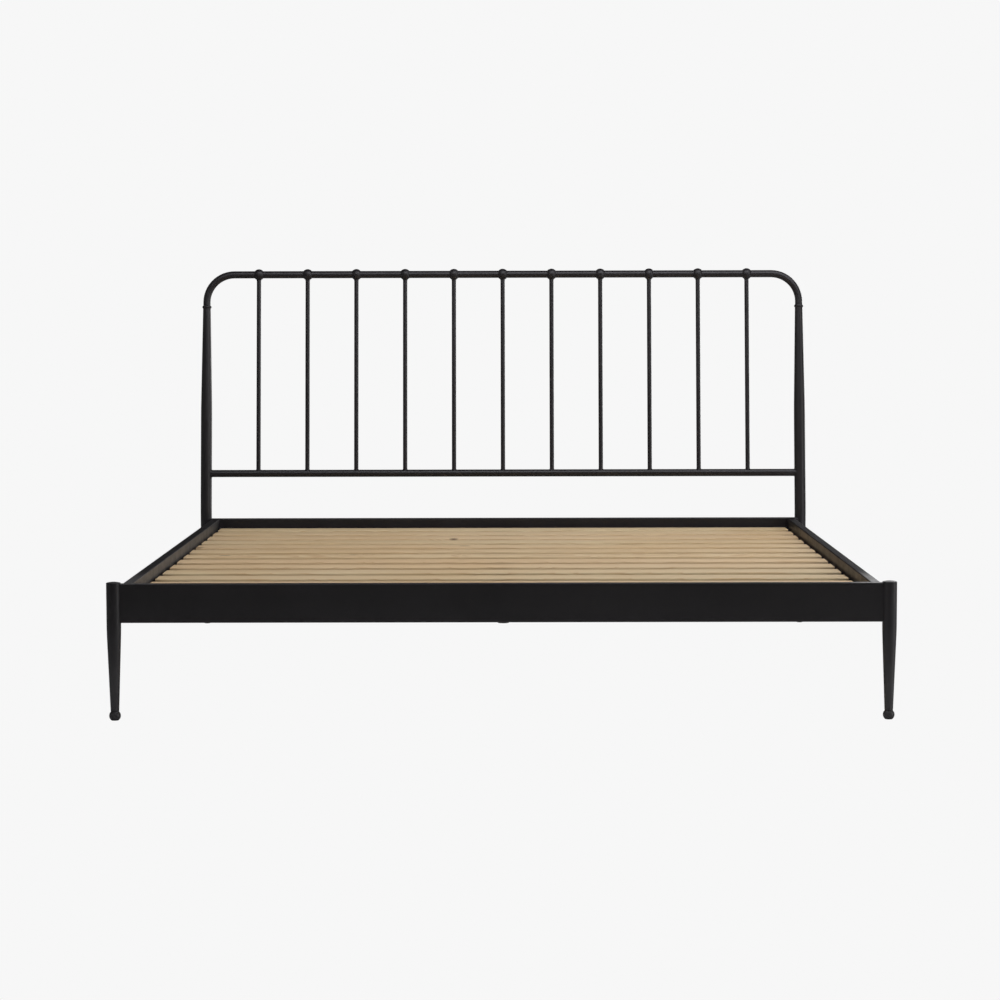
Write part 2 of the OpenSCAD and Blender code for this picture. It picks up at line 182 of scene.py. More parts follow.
def leg_radius(z):
    """Radius of the lower leg at a height: it tapers down to the toe."""
    return tapered(TAPER_TOP_Z - z, (LEG_R - TOE_R) / (TAPER_TOP_Z - TOE_Z), 0.02)


def post_radius(s):
    """Radius of the leaning part at s above the bend: straight, then tapering to the tip."""
    slope = (LEG_R - POST_TIP_R) / POST_TAPER_LENGTH
    return tapered(s - (TIP_S - POST_TAPER_LENGTH), slope, 0.03)


def post_frame(length):
    """Place of a ring on the post's axis: upright, then an arc, then leaning back."""
    start = BEND_Z - BEND_TANGENT
    arc = BEND_RADIUS * LEAN
    if length <= start:
        y, z, tilt = 0.0, length, 0.0
    elif length <= start + arc:
        tilt = (length - start) / BEND_RADIUS
        y = BEND_RADIUS * (1 - math.cos(tilt))
        z = start + BEND_RADIUS * math.sin(tilt)
    else:
        along = length - start - arc + BEND_TANGENT
        y, z, tilt = along * math.sin(LEAN), BEND_Z + along * math.cos(LEAN), LEAN
    return Matrix.Translation((0, y, z)) @ Matrix.Rotation(-tilt, 4, "X")


def tube_rings(bm, profile, path, place, segments=96):
    """Skins (length along the path, radius) points; a radius of zero closes the end."""
    skin_rings(bm, [ring_points(place @ path(length), radius, segments) for length, radius in profile])


def straight(length):
    return Matrix.Translation((0, 0, length))


def toe_profile():
    """The closed lower end of a leg, with a small chamfer at its outer edge."""
    chamfer = 0.0004
    bore = TOE_R - TUBE_WALL
    bore_end = TOE_Z + 0.014
    return [
        (bore_end, 0),
        (bore_end, bore),
        (TOE_Z, bore),
        (TOE_Z, TOE_R - chamfer),
        (TOE_Z + chamfer, leg_radius(TOE_Z + chamfer)),
    ]


def front_leg_mesh(side):
    """A front leg, open at the top for its cap."""
    top_chamfer = 0.0003
    bore = LEG_R - TUBE_WALL
    bore_end = LEG_TOP - 0.012
    outside = [(z, leg_radius(z)) for z in steps(TOE_END, LEG_TOP - 0.004, 48)]
    top = [
        (LEG_TOP - top_chamfer, LEG_R),
        (LEG_TOP, LEG_R - top_chamfer),
        (LEG_TOP, bore),
        (bore_end, bore),
        (bore_end, 0),
    ]
    place = Matrix.Translation((side * LEG_X, FRONT_Y, 0))
    return mesh_from(lambda bm: tube_rings(bm, toe_profile() + outside + top, straight, place))


def post_mesh(side):
    """A rear post: lower leg, smooth bend, lean, and the taper up to the collar."""
    bend_start = BEND_Z - BEND_TANGENT
    # The arc is shorter than the corner that it rounds, so a length along the post is less than z plus s
    bend_excess = BEND_RADIUS * LEAN - 2 * BEND_TANGENT
    to_lean = BEND_Z + bend_excess
    lower = [(z, leg_radius(z)) for z in steps(TOE_END, bend_start, 44)]
    bend = [(bend_start + BEND_RADIUS * a, LEG_R) for a in steps(0, LEAN, 10)[1:]]
    upper = [(to_lean + s, post_radius(s)) for s in steps(BEND_TANGENT + 0.01, TIP_S - 0.002, 60)]
    socket_r = HOOP_R + 0.0001
    end = to_lean + TIP_S
    tip = [
        (end, POST_TIP_R),
        (end, socket_r),
        (end - SOCKET_DEPTH, socket_r),
        (end - SOCKET_DEPTH, 0),
    ]
    place = Matrix.Translation((side * LEG_X, REAR_Y, 0))
    profile = toe_profile() + lower + bend + upper + tip
    return mesh_from(lambda bm: tube_rings(bm, profile, post_frame, place))


# ---- Boards, hardware and welds ----


def node_parts(node_name):
    """(lowest corner, highest corner) of each separate solid in a CAD node."""
    bm = bmesh.new()
    bm.from_mesh(nodes[node_name].data)
    bmesh.ops.remove_doubles(bm, verts=bm.verts, dist=MERGE_DISTANCE)
    bm.verts.ensure_lookup_table()
    seen = set()
    boxes = []
    for start in bm.verts:
        if start.index in seen:
            continue
        stack, group = [start], []
        seen.add(start.index)
        while stack:
            vert = stack.pop()
            group.append(vert.co.copy())
            for edge in vert.link_edges:
                other = edge.other_vert(vert)
                if other.index not in seen:
                    seen.add(other.index)
                    stack.append(other)
        axes = list(zip(*group))
        boxes.append((Vector(map(min, axes)), Vector(map(max, axes))))
    bm.free()
    return boxes


def rounded_outline(width, height, radius, arc_steps=6):
    """Points round a centred rectangle with round corners."""
    points = []
    for quarter in range(4):
        corner_x = (width / 2 - radius) * (1 if quarter in (0, 3) else -1)
        corner_y = (height / 2 - radius) * (1 if quarter in (0, 1) else -1)
        for i in range(arc_steps + 1):
            angle = math.pi / 2 * (quarter + i / arc_steps)
            points.append((corner_x + radius * math.cos(angle), corner_y + radius * math.sin(angle)))
    return points


def slat_mesh(low, high):
    """A planed board along X: long edges rounded, ends eased with sandpaper."""
    edge_radius = 0.003
    end_radius = 0.0012
    width, thick = high.y - low.y, high.z - low.z
    centre = (low + high) / 2
    quarter = steps(0, math.pi / 2, 4)
    insets = [(end_radius * (1 - math.cos(a)), end_radius * (1 - math.sin(a))) for a in quarter]
    stations = [(low.x + along, inset) for along, inset in insets]
    stations += [(x, 0.0) for x in steps(low.x + 0.05, high.x - 0.05, 12)]
    stations += [(high.x - along, inset) for along, inset in reversed(insets)]

    def build(bm):
        rings = [[Vector((low.x, centre.y, centre.z))]]
        for x, inset in stations:
            outline = rounded_outline(width - 2 * inset, thick - 2 * inset, edge_radius - inset)
            rings.append([Vector((x, centre.y + y, centre.z + z)) for y, z in outline])
        rings.append([Vector((high.x, centre.y, centre.z))])
        skin_rings(bm, rings)

    return mesh_from(build)


def hex_radius(angle, apothem):
    """Distance from the centre of a hexagon to its outline."""
    sector = math.pi / 3
    return apothem / math.cos((angle % sector) - sector / 2)


def hexagon(bm, corner_r, bottom, top, place, chamfer_bottom=False, bore=0.0, segments=72):
    """A hexagonal head or nut, with its corners turned off at 30 degrees."""
    apothem = corner_r * math.cos(math.pi / 6)
    face_r = apothem * 0.97  # the flat face ends just inside the sides
    slope = math.tan(math.radians(30))

    def ring(z_of, r_of):
        angles = (2 * math.pi * i / segments for i in range(segments))
        return [place @ Vector((r_of(a) * math.cos(a), r_of(a) * math.sin(a), z_of(a))) for a in angles]

    def outline(angle):
        return hex_radius(angle, apothem)

    def drop(angle):
        return (outline(angle) - face_r) * slope

    def flat(radius, z):
        return ring(lambda a: z, lambda a: radius)

    def lower_edge(angle):
        return bottom + drop(angle) if chamfer_bottom else bottom

    upper = [ring(lambda a: top - drop(a), outline), flat(face_r, top)]
    lower = [flat(face_r, bottom), ring(lower_edge, outline)]
    if bore:
        countersink = 0.0005
        inside = [
            flat(bore + countersink, top),
            flat(bore, top - countersink),
            flat(bore, bottom + countersink),
            flat(bore + countersink, bottom),
            flat(face_r, bottom),
        ]
        skin_rings(bm, lower + upper + inside)
    else:
        centre_low = ring_points(place, 0, segments, bottom)
        centre_high = ring_points(place, 0, segments, top)
        skin_rings(bm, [centre_low] + lower + upper + [centre_high])


def threaded_rod(bm, thread, bottom, top, place, segments=24):
    """A rod with a real helical thread whose crests reach its radius, and a chamfered lower end."""
    radius, pitch = thread
    depth = 0.6 * pitch
    flank = 1.15  # above 1, which leaves the crests flat
    end_slope = 1.2
    per_turn = 6
    count = max(2, round((top - bottom) / pitch * per_turn))
    rings = [ring_points(place, 0, segments, bottom)]
    for z in steps(bottom, top, count):
        ring = []
        for i in range(segments):
            angle = 2 * math.pi * i / segments
            turn = (z / pitch - angle / (2 * math.pi)) % 1.0
            groove = depth * max(0.0, 1 - abs(2 * turn - 1) * flank)
            r = min(radius - groove, radius - depth + (z - bottom) * end_slope)
            ring.append(place @ Vector((r * math.cos(angle), r * math.sin(angle), z)))
        rings.append(ring)
    rings.append(ring_points(place, 0, segments, top))
    skin_rings(bm, rings)


def facing(origin, direction, up="Y"):
    """Place whose own +Z points along a direction, with its up axis as near to upright as it can be."""
    return Matrix.Translation(origin) @ Vector(direction).to_track_quat("Z", up).to_matrix().to_4x4()


def at_corner(low, high):
    """Whether a bolt, nut or washer is at a corner of the bed, where all are M8, or on the beam, M6."""
    return abs(low.x + high.x) / 2 > 0.5


def hardware_place(low, high):
    """(place at its outer end, length) of a bolt, nut or washer: along Y at a rail, else along X."""
    centre = (low + high) / 2
    if high.y - low.y > high.x - low.x or at_corner(low, high):
        inward = 1 if centre.y < 0 else -1
        end = high.y if inward > 0 else low.y
        return facing((centre.x, end, centre.z), (0, inward, 0)), high.y - low.y
    return facing((low.x, centre.y, centre.z), (-1, 0, 0), "X"), high.x - low.x


def bolts_mesh():
    """Corner bolts with their heads inside the bed, and beam bolts that pass through the beam."""

    def build(bm):
        for low, high in node_parts("frame_bolts"):
            place, length = hardware_place(low, high)
            if at_corner(low, high):
                hex_r, head, thread = M8_HEX_R, M8_HEAD, M8_THREAD
            else:
                hex_r, head, thread = M6_HEX_R, M6_HEAD, M6_THREAD
            hexagon(bm, hex_r, -head, 0, place)
            threaded_rod(bm, thread, -length, -head, place)

    return mesh_from(build)


def nuts_mesh():
    """Nuts chamfered on both faces, with countersunk bores."""

    def build(bm):
        for low, high in node_parts("frame_nuts"):
            place, length = hardware_place(low, high)
            corner = at_corner(low, high)
            hex_r, bore = (M8_HEX_R, M8_NUT_BORE) if corner else (M6_HEX_R, M6_NUT_BORE)
            hexagon(bm, hex_r, -length, 0, place, chamfer_bottom=True, bore=bore)

    return mesh_from(build)


def washers_mesh():
    """Plain washers with their outer edges broken."""
    edge = 0.0003

    def build(bm):
        for low, high in node_parts("frame_washers"):
            place, thick = hardware_place(low, high)
            outer = (high.x - low.x) / 2
            profile = [
                (WASHER_BORE, -thick),
                (outer - edge, -thick),
                (outer, edge - thick),
                (outer, -edge),
                (outer - edge, 0),
                (WASHER_BORE, 0),
                (WASHER_BORE, -thick),
            ]
            lathe(bm, profile, place)

    return mesh_from(build)


def levelling_foot_mesh():
    """Moulded pad with rounded edges, chamfered hexagon and threaded stem."""
    low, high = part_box("levelling_foot")
    pad_r = (high.x - low.x) / 2
    base_edge = 0.0006
    rim = 0.002
    # The pad rises slightly to a round seat under the hexagon
    seat_r, seat_z = 0.0125, FOOT_PAD_TOP + 0.0002
    rim_r, rim_z = pad_r - rim, FOOT_PAD_TOP - rim
    quarter = steps(0, math.pi / 2, 6)
    rim_arc = [(rim_r + rim * math.cos(a), rim_z + rim * math.sin(a)) for a in quarter]
    profile = [(0, 0), (pad_r - base_edge, 0), (pad_r, base_edge), *rim_arc, (seat_r, seat_z), (0, seat_z)]
    place = Matrix.Translation(((low.x + high.x) / 2, (low.y + high.y) / 2, 0))

    def build(bm):
        lathe(bm, profile, place, 96)
        hexagon(bm, FOOT_HEX_R, FOOT_PAD_TOP, FOOT_HEX_TOP, place)
        threaded_rod(bm, FOOT_THREAD, FOOT_HEX_TOP, high.z, place, 36)

    return mesh_from(build)


def weld_bead(bm, points, radius, away):
    """A round bead with fine ripples along points; away gives the side it stands out to at each point."""
    rings = []
    sides = 8
    ripple, ripple_step = 0.14, 1.9
    closed = (points[0] - points[-1]).length < MERGE_DISTANCE
    if closed:
        points, away = points[:-1], away[:-1]
    count = len(points)
    for i, point in enumerate(points):
        following = points[(i + 1) % count] if closed or i + 1 < count else point
        previous = points[i - 1] if closed or i > 0 else point
        along = (following - previous).normalized()
        out = (away[i] - along * away[i].dot(along)).normalized()
        side = along.cross(out)
        # An open bead starts and ends thin
        fade = 1.0 if closed else min(1.0, 0.35 + 4 * min(i, count - 1 - i) / count)
        r = radius * fade * (1 + ripple * math.sin(i * ripple_step))
        angles = (2 * math.pi * k / sides for k in range(sides))
        rings.append([point + out * (r * math.cos(a)) + side * (r * math.sin(a)) for a in angles])
    if not closed:
        rings = [[points[0]]] + rings + [[points[-1]]]
    skin_rings(bm, rings, closed)


def leaning_place(x, s):
    """Place on the headboard's plane: s is the height along it from the bend, local Z runs up it."""
    base = Vector((x, REAR_Y + s * math.sin(LEAN), BEND_Z + s * math.cos(LEAN)))
    return Matrix.Translation(base) @ Matrix.Rotation(-LEAN, 4, "X")


def saddle(radius, host_radius, count):
    """Closed curve where a tube along local Z meets a host tube along local X, and its outward side."""
    points, outward = [], []
    for i in range(count + 1):
        a = 2 * math.pi * i / count
        across = radius * math.sin(a)
        up = math.sqrt(host_radius ** 2 - across ** 2)
        points.append(Vector((radius * math.cos(a), across, up)))
        outward.append(Vector((math.cos(a), math.sin(a), 0.9)))
    return points, outward


def headboard_welds_mesh():
    """Beads where the spindles stand on the lower tube and where that tube meets the posts."""
    low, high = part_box("headboard_crossbar")
    bar_z = (low.z + high.z) / 2
    bar_s = (bar_z - BEND_Z) / math.cos(LEAN)
    spindles = [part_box(name) for name in nodes if name.startswith("spindle_")]

    def weld_round(bm, place, radius, host_radius, count):
        points, outward = saddle(radius, host_radius, count)
        turn = place.to_3x3()
        weld_bead(bm, [place @ p for p in points], SPINDLE_BEAD_R, [turn @ v for v in outward])

    def build(bm):
        for spindle_low, spindle_high in spindles:
            radius = (spindle_high.x - spindle_low.x) / 2
            place = leaning_place((spindle_low.x + spindle_high.x) / 2, bar_s)
            weld_round(bm, place, radius, HOOP_R, 44)
        for side in SIDES.values():
            # Turned so that local Z points from the post's axis into the bed, along the tube
            place = leaning_place(side * LEG_X, bar_s) @ Matrix.Rotation(-side * math.pi / 2, 4, "Y")
            weld_round(bm, place, HOOP_R, LEG_R, 60)

    return mesh_from(build)


def rail_welds_mesh():
    """Upright beads inside the bed, where the foot and rear rails meet the round legs."""
    stop = 0.004  # a bead's ends stay this far from the rail's edges

    def build(bm):
        for rail_name, leg_y, inward in (("foot_rail", FRONT_Y, 1), ("rear_rail", REAR_Y, -1)):
            low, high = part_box(rail_name)
            face_y = high.y if inward > 0 else low.y
            reach = math.sqrt(LEG_R ** 2 - (face_y - leg_y) ** 2)
            heights = steps(low.z + stop, high.z - stop, 46)
            for side in SIDES.values():
                points = [Vector((side * (LEG_X - reach), face_y, z)) for z in heights]
                weld_bead(bm, points, RAIL_BEAD_R, [Vector((-side, inward, 0))] * len(points))

    return mesh_from(build)


# ---- Materials ----


def node_material(name):
    """A new material with its node tree and its Principled shader."""
    material = bpy.data.materials.new(name)
    material.use_nodes = True
    tree = material.node_tree
    shader = tree.nodes["Principled BSDF"]
    return material, tree, shader


def add(tree, kind, inputs=(), **settings):
    """Adds a node; inputs are (socket name or number, value or output socket)."""
    node = tree.nodes.new(kind)
    for key, value in settings.items():
        setattr(node, key, value)
    for socket, value in inputs:
        if isinstance(value, bpy.types.NodeSocket):
            tree.links.new(value, node.inputs[socket])
        else:
            node.inputs[socket].default_value = value
    return node


def noise(tree, coords, scale, detail=2.0, roughness=0.5):
    inputs = [("Vector", coords), ("Scale", scale), ("Detail", detail), ("Roughness", roughness)]
    return add(tree, "ShaderNodeTexNoise", inputs).outputs["Fac"]


def remap(tree, value, low, high, to_low, to_high):
    """Maps a value from one range to another, and keeps it inside the second."""
    ends = [("From Min", low), ("From Max", high), ("To Min", to_low), ("To Max", to_high)]
    return add(tree, "ShaderNodeMapRange", [("Value", value), *ends]).outputs["Result"]


def math_node(tree, operation, a, b=None):
    inputs = [(0, a)] if b is None else [(0, a), (1, b)]
    return add(tree, "ShaderNodeMath", inputs, operation=operation).outputs["Value"]


def vector_node(tree, operation, a, b):
    return add(tree, "ShaderNodeVectorMath", [(0, a), (1, b)], operation=operation)


def mix_colour(tree, factor, a, b):
    # Sockets 0, 6 and 7 are the factor and the two colours; output 2 is the mixed colour
    return add(tree, "ShaderNodeMix", [(0, factor), (6, a), (7, b)], data_type="RGBA").outputs[2]


def bump(tree, height, distance, strength, normal=None):
    inputs = [("Height", height), ("Distance", distance), ("Strength", strength)]
    if normal is not None:
        inputs.append(("Normal", normal))
    return add(tree, "ShaderNodeBump", inputs).outputs["Normal"]


def object_coords(tree):
    return add(tree, "ShaderNodeTexCoord").outputs["Object"]


def powder_coat(name, dark, light, rough_low, rough_high, grain=1.0, soft_edges=False):
    """Satin powder coat: orange peel, slow changes of tone, and slightly polished, paler edges.

    grain scales the orange peel; soft_edges rounds the sharp edges of sheet steel in the shading.
    """
    worn_radius = 0.0012
    peel_scale, peel_height = 420.0, 0.00005 * grain
    fine_scale, fine_height = 1500.0, 0.000012 * grain
    material, tree, shader = node_material(name)
    coords = object_coords(tree)
    tone = remap(tree, noise(tree, coords, 5.0, 3.0), 0.35, 0.65, 0.0, 1.0)
    colour = mix_colour(tree, tone, dark, light)
    # Edges: the bevelled normal turns away from the true one only near a corner
    bevelled = add(tree, "ShaderNodeBevel", [("Radius", worn_radius)], samples=4).outputs["Normal"]
    true_normal = add(tree, "ShaderNodeNewGeometry").outputs["Normal"]
    dot = vector_node(tree, "DOT_PRODUCT", bevelled, true_normal)
    edge = remap(tree, dot.outputs["Value"], 0.97, 0.85, 0.0, 1.0)
    patchy = remap(tree, noise(tree, coords, 60.0, 4.0, 0.7), 0.45, 0.7, 0.15, 1.0)
    worn = math_node(tree, "MULTIPLY", edge, patchy)
    edge_colour = tuple(2.2 * c for c in light[:3]) + (1.0,)
    colour = mix_colour(tree, math_node(tree, "MULTIPLY", worn, 0.55), colour, edge_colour)
    tree.links.new(colour, shader.inputs["Base Color"])
    rough = remap(tree, noise(tree, coords, 22.0, 4.0, 0.6), 0.3, 0.7, rough_low, rough_high)
    rough = math_node(tree, "SUBTRACT", rough, math_node(tree, "MULTIPLY", worn, 0.06))
    tree.links.new(rough, shader.inputs["Roughness"])
    peel = noise(tree, coords, peel_scale, 2.0, 0.45)
    fine = noise(tree, coords, fine_scale, 1.0)
    normal = bump(tree, peel, peel_height, 0.5, bevelled if soft_edges else None)
    normal = bump(tree, fine, fine_height, 0.4, normal)
    tree.links.new(normal, shader.inputs["Normal"])
    shader.inputs["IOR"].default_value = 1.48
    return material


def zinc_plate(name):
    """Zinc plating: cool, slightly mottled, with fine turned scratches."""
    material, tree, shader = node_material(name)
    coords = object_coords(tree)
    mottle = remap(tree, noise(tree, coords, 140.0, 5.0, 0.65), 0.3, 0.7, 0.0, 1.0)
    colour = mix_colour(tree, mottle, (0.46, 0.47, 0.49, 1), (0.62, 0.63, 0.64, 1))
    tree.links.new(colour, shader.inputs["Base Color"])
    tree.links.new(remap(tree, mottle, 0.0, 1.0, 0.42, 0.27), shader.inputs["Roughness"])
    scratches = noise(tree, coords, 900.0, 3.0, 0.7)
    tree.links.new(bump(tree, scratches, 0.00002, 0.6), shader.inputs["Normal"])
    shader.inputs["Metallic"].default_value = 1.0
    return material


def moulded_plastic(name):
    """Black moulded plastic with a fine spark-eroded texture."""
    material, tree, shader = node_material(name)
    coords = object_coords(tree)
    tone = remap(tree, noise(tree, coords, 30.0, 3.0), 0.35, 0.65, 0.0, 1.0)
    colour = mix_colour(tree, tone, (0.016, 0.016, 0.017, 1), (0.026, 0.026, 0.028, 1))
    tree.links.new(colour, shader.inputs["Base Color"])
    tree.links.new(remap(tree, tone, 0.0, 1.0, 0.5, 0.62), shader.inputs["Roughness"])
    grain = add(tree, "ShaderNodeTexVoronoi", [("Vector", coords), ("Scale", 1300.0)], feature="SMOOTH_F1")
    tree.links.new(bump(tree, grain.outputs["Distance"], 0.00005, 0.5), shader.inputs["Normal"])
    return material


def pine(name, seed):
    """Planed pine: growth rings cut by the board, fibres, knots and paler sapwood."""
    rng = random.Random(seed)
    knot_size, knot_edge = 0.034, 0.055
    fibre_height, ring_height = 0.00025, 0.0003
    material, tree, shader = node_material(name)
    coords = object_coords(tree)
    # The tree's axis runs nearly along X; a small tilt makes the rings sweep across the board
    tilt = rng.uniform(-0.035, 0.035)
    heart = (rng.uniform(-2, 2), rng.uniform(-0.08, 0.08), rng.uniform(0.02, 0.12))
    turn = (0, rng.uniform(-0.03, 0.03), tilt)
    mapping = add(tree, "ShaderNodeMapping", [("Vector", coords), ("Location", heart), ("Rotation", turn)])
    in_tree = mapping.outputs["Vector"]
    wobble = add(tree, "ShaderNodeTexNoise", [("Vector", in_tree), ("Scale", 2.2), ("Detail", 3.0)])
    slow = vector_node(tree, "MULTIPLY", wobble.outputs["Color"], (0.0, 0.05, 0.05)).outputs["Vector"]
    bent = vector_node(tree, "ADD", in_tree, slow).outputs["Vector"]
    # Knots push the rings aside
    shift = (rng.uniform(0, 9), rng.uniform(0, 9), rng.uniform(0, 9))
    stretch = (2.6, 6.5, 3.0)
    knot_space = add(tree, "ShaderNodeMapping", [("Vector", coords), ("Location", shift), ("Scale", stretch)])
    knots = add(tree, "ShaderNodeTexVoronoi", [("Vector", knot_space.outputs["Vector"]), ("Scale", 1.0)])
    near = knots.outputs["Distance"]
    push = remap(tree, near, 0.0, 0.22, 0.012, 0.0)
    split = add(tree, "ShaderNodeSeparateXYZ", [("Vector", bent)])
    y_squared = math_node(tree, "POWER", math_node(tree, "ABSOLUTE", split.outputs["Y"]), 2.0)
    z_squared = math_node(tree, "POWER", math_node(tree, "ABSOLUTE", split.outputs["Z"]), 2.0)
    radius = math_node(tree, "SQRT", math_node(tree, "ADD", y_squared, z_squared))
    radius = math_node(tree, "ADD", radius, push)
    # Good and bad years: the rings are not evenly spaced
    years = noise(tree, add(tree, "ShaderNodeCombineXYZ", [("X", radius)]).outputs["Vector"], 55.0, 2.0)
    radius = math_node(tree, "ADD", radius, math_node(tree, "MULTIPLY", years, 0.016))
    ring_width = rng.uniform(0.0038, 0.0062)
    ring = math_node(tree, "FRACT", math_node(tree, "MULTIPLY", radius, 1 / ring_width))
    # Each ring darkens slowly to its late wood and ends sharply
    rise = math_node(tree, "POWER", ring, 2.2)
    fall = remap(tree, ring, 0.9, 1.0, 1.0, 0.0)
    late = math_node(tree, "MULTIPLY", rise, fall)
    fibres_map = add(tree, "ShaderNodeMapping", [("Vector", coords), ("Scale", (6.0, 420.0, 420.0))])
    fibre = noise(tree, fibres_map.outputs["Vector"], 1.0, 4.0, 0.6)
    drift = remap(tree, noise(tree, coords, 1.7, 3.0), 0.35, 0.65, 0.0, 1.0)
    warmth = rng.uniform(0.94, 1.04)
    pale = mix_colour(tree, drift, (0.82 * warmth, 0.60, 0.34, 1), (0.86 * warmth, 0.67, 0.42, 1))
    dark = mix_colour(tree, drift, (0.56, 0.32, 0.14, 1), (0.64, 0.40, 0.19, 1))
    wood = mix_colour(tree, math_node(tree, "MULTIPLY", late, 0.85), pale, dark)
    streak = remap(tree, fibre, 0.35, 0.72, 0.0, 0.35)
    wood = mix_colour(tree, streak, wood, (0.60, 0.41, 0.22, 1))
    knot_ring = remap(tree, near, knot_size, knot_edge, 1.0, 0.0)
    knot_core = remap(tree, near, 0.0, knot_size, 0.55, 1.0)
    knot_colour = mix_colour(tree, knot_core, (0.27, 0.135, 0.06, 1), (0.12, 0.055, 0.025, 1))
    wood = mix_colour(tree, math_node(tree, "MULTIPLY", knot_ring, 0.85), wood, knot_colour)
    tree.links.new(wood, shader.inputs["Base Color"])
    tree.links.new(remap(tree, late, 0.0, 1.0, 0.62, 0.48), shader.inputs["Roughness"])
    normal = bump(tree, fibre, fibre_height, 0.35)
    normal = bump(tree, late, ring_height, 0.25, normal)
    tree.links.new(normal, shader.inputs["Normal"])
    return material


BLACK_DARK = (0.0096, 0.0077, 0.0086, 1)
BLACK_LIGHT = (0.0138, 0.0114, 0.0126, 1)
CAST_LIGHT = (0.0138, 0.0116, 0.0127, 1)

black_tube = powder_coat("black_powder_coat", BLACK_DARK, BLACK_LIGHT, 0.40, 0.50)
black_cast = powder_coat("black_powder_coat_cast", BLACK_DARK, CAST_LIGHT, 0.40, 0.52, grain=1.8)
black_plate = powder_coat(
    "black_powder_coat_plate", BLACK_DARK, BLACK_LIGHT, 0.42, 0.52, grain=1.2, soft_edges=True
)
zinc = zinc_plate("zinc_plate")
plastic = moulded_plastic("moulded_plastic")

# ---- Material of every CAD node ----

CAST_NODES = ("ball_feet", "post_collars", "leg_cap_left", "leg_cap_right")
PLATE_NODES = ("slat_ledge_left", "slat_ledge_right", "corner_brackets", "beam_hangers", "centre_beam")


def paint(node_name, material):
    """Gives every face of a CAD node one material."""
    mesh = nodes[node_name].data
    for i in range(len(mesh.materials)):
        mesh.materials[i] = material
    if not mesh.materials:
        mesh.materials.append(material)


pine_boards = {}
for node_name in nodes:
    if node_name in slat_numbers:
        number = slat_numbers[node_name]
        pine_boards[node_name] = pine("pine_" + number, int(number))
        paint(node_name, pine_boards[node_name])
    elif node_name.startswith("ball_joint_") or node_name in CAST_NODES:
        paint(node_name, black_cast)
    elif node_name in PLATE_NODES:
        paint(node_name, black_plate)
    elif node_name in ("slat_cradles", "levelling_foot"):
        paint(node_name, plastic)
    elif node_name in ("frame_bolts", "frame_washers", "frame_nuts"):
        paint(node_name, zinc)
    else:
        paint(node_name, black_tube)

# ---- Pieces that replace plainer CAD solids ----

for side_name, side in SIDES.items():
    leg = new_piece("leg_" + side_name, front_leg_mesh(side), FRAME_BODY, black_tube)
    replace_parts(leg, "foot_leg_" + side_name)
    post = new_piece("post_" + side_name, post_mesh(side), FRAME_BODY, black_tube)
    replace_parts(post, "headboard_post_" + side_name)

for node_name, number in slat_numbers.items():
    board_mesh = slat_mesh(*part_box(node_name))
    board = new_piece("board_" + number, board_mesh, FRAME_BODY, pine_boards[node_name])
    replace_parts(board, node_name)

for name, build_mesh, node_name in (
    ("hex_bolts", bolts_mesh, "frame_bolts"),
    ("hex_nuts", nuts_mesh, "frame_nuts"),
    ("plain_washers", washers_mesh, "frame_washers"),
):
    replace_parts(new_piece(name, build_mesh(), FRAME_BODY, zinc), node_name)

foot = new_piece("screw_foot", levelling_foot_mesh(), FOOT_BODY, plastic)
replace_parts(foot, "levelling_foot")
new_piece("headboard_welds", headboard_welds_mesh(), FRAME_BODY, black_cast)
new_piece("rail_welds", rail_welds_mesh(), FRAME_BODY, black_cast)

# ---- Studio ----

BACKGROUND = 0.93
FLOOR_SIZE = 600
AMBIENT_EVEN = 0.025
AMBIENT_LEFT = 0.32
AMBIENT_SIDE = (-0.96, -0.26, 0.1)
CLEAR_WHITE = (1, 1, 1, 1)


def make_floor():
    """Plain pale floor: even to the camera, a matt white surface to every other ray, clear from below."""
    half = FLOOR_SIZE / 2
    mesh = bpy.data.meshes.new("floor")
    corners = [(-half, -half, 0), (half, -half, 0), (half, half, 0), (-half, half, 0)]
    mesh.from_pydata(corners, [], [(0, 1, 2, 3)])
    floor = bpy.data.objects.new("floor", mesh)
    bpy.context.scene.collection.objects.link(floor)
    material = bpy.data.materials.new("pale_floor")
    material.use_nodes = True
    tree = material.node_tree
    tree.nodes.clear()
    matt = add(tree, "ShaderNodeBsdfDiffuse", [("Color", (0.8, 0.8, 0.8, 1))])
    even = add(tree, "ShaderNodeEmission", [("Color", CLEAR_WHITE), ("Strength", BACKGROUND)])
    seen = add(tree, "ShaderNodeLightPath").outputs["Is Camera Ray"]
    mix = add(tree, "ShaderNodeMixShader", [("Fac", seen)])
    tree.links.new(matt.outputs["BSDF"], mix.inputs[1])
    tree.links.new(even.outputs["Emission"], mix.inputs[2])
    underside = add(tree, "ShaderNodeNewGeometry").outputs["Backfacing"]
    one_way = add(tree, "ShaderNodeMixShader", [("Fac", underside)])
    tree.links.new(mix.outputs["Shader"], one_way.inputs[1])
    tree.links.new(add(tree, "ShaderNodeBsdfTransparent").outputs["BSDF"], one_way.inputs[2])
    output = add(tree, "ShaderNodeOutputMaterial")
    tree.links.new(one_way.outputs["Shader"], output.inputs["Surface"])
    mesh.materials.append(material)


